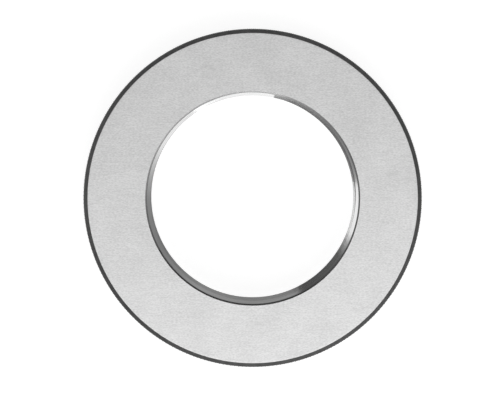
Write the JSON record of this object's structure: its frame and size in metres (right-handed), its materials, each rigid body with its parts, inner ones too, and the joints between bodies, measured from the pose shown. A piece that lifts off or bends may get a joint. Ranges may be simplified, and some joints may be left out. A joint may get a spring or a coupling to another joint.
{
  "type": "thread ring gauge",
  "caption": "Solid steel ring gauge with a right-hand screw thread through its chamfered bore, ground flat faces and a knurled rim, for checking an outside thread.",
  "frame": {"origin": "centre of the lower ground face, on the thread's axis", "axes": "+Z along the thread's axis, from the lower ground face to the upper one"},
  "size_m": [0.112, 0.112, 0.024],
  "materials": {
    "gauge_steel": "surface-ground pale grey faces, bright lapped bore and thread, blackened knurled rim and rim chamfers"
  },
  "bodies": {
    "root": {"thread_ring_gauge": "gauge_steel"}
  },
  "joints": []
}
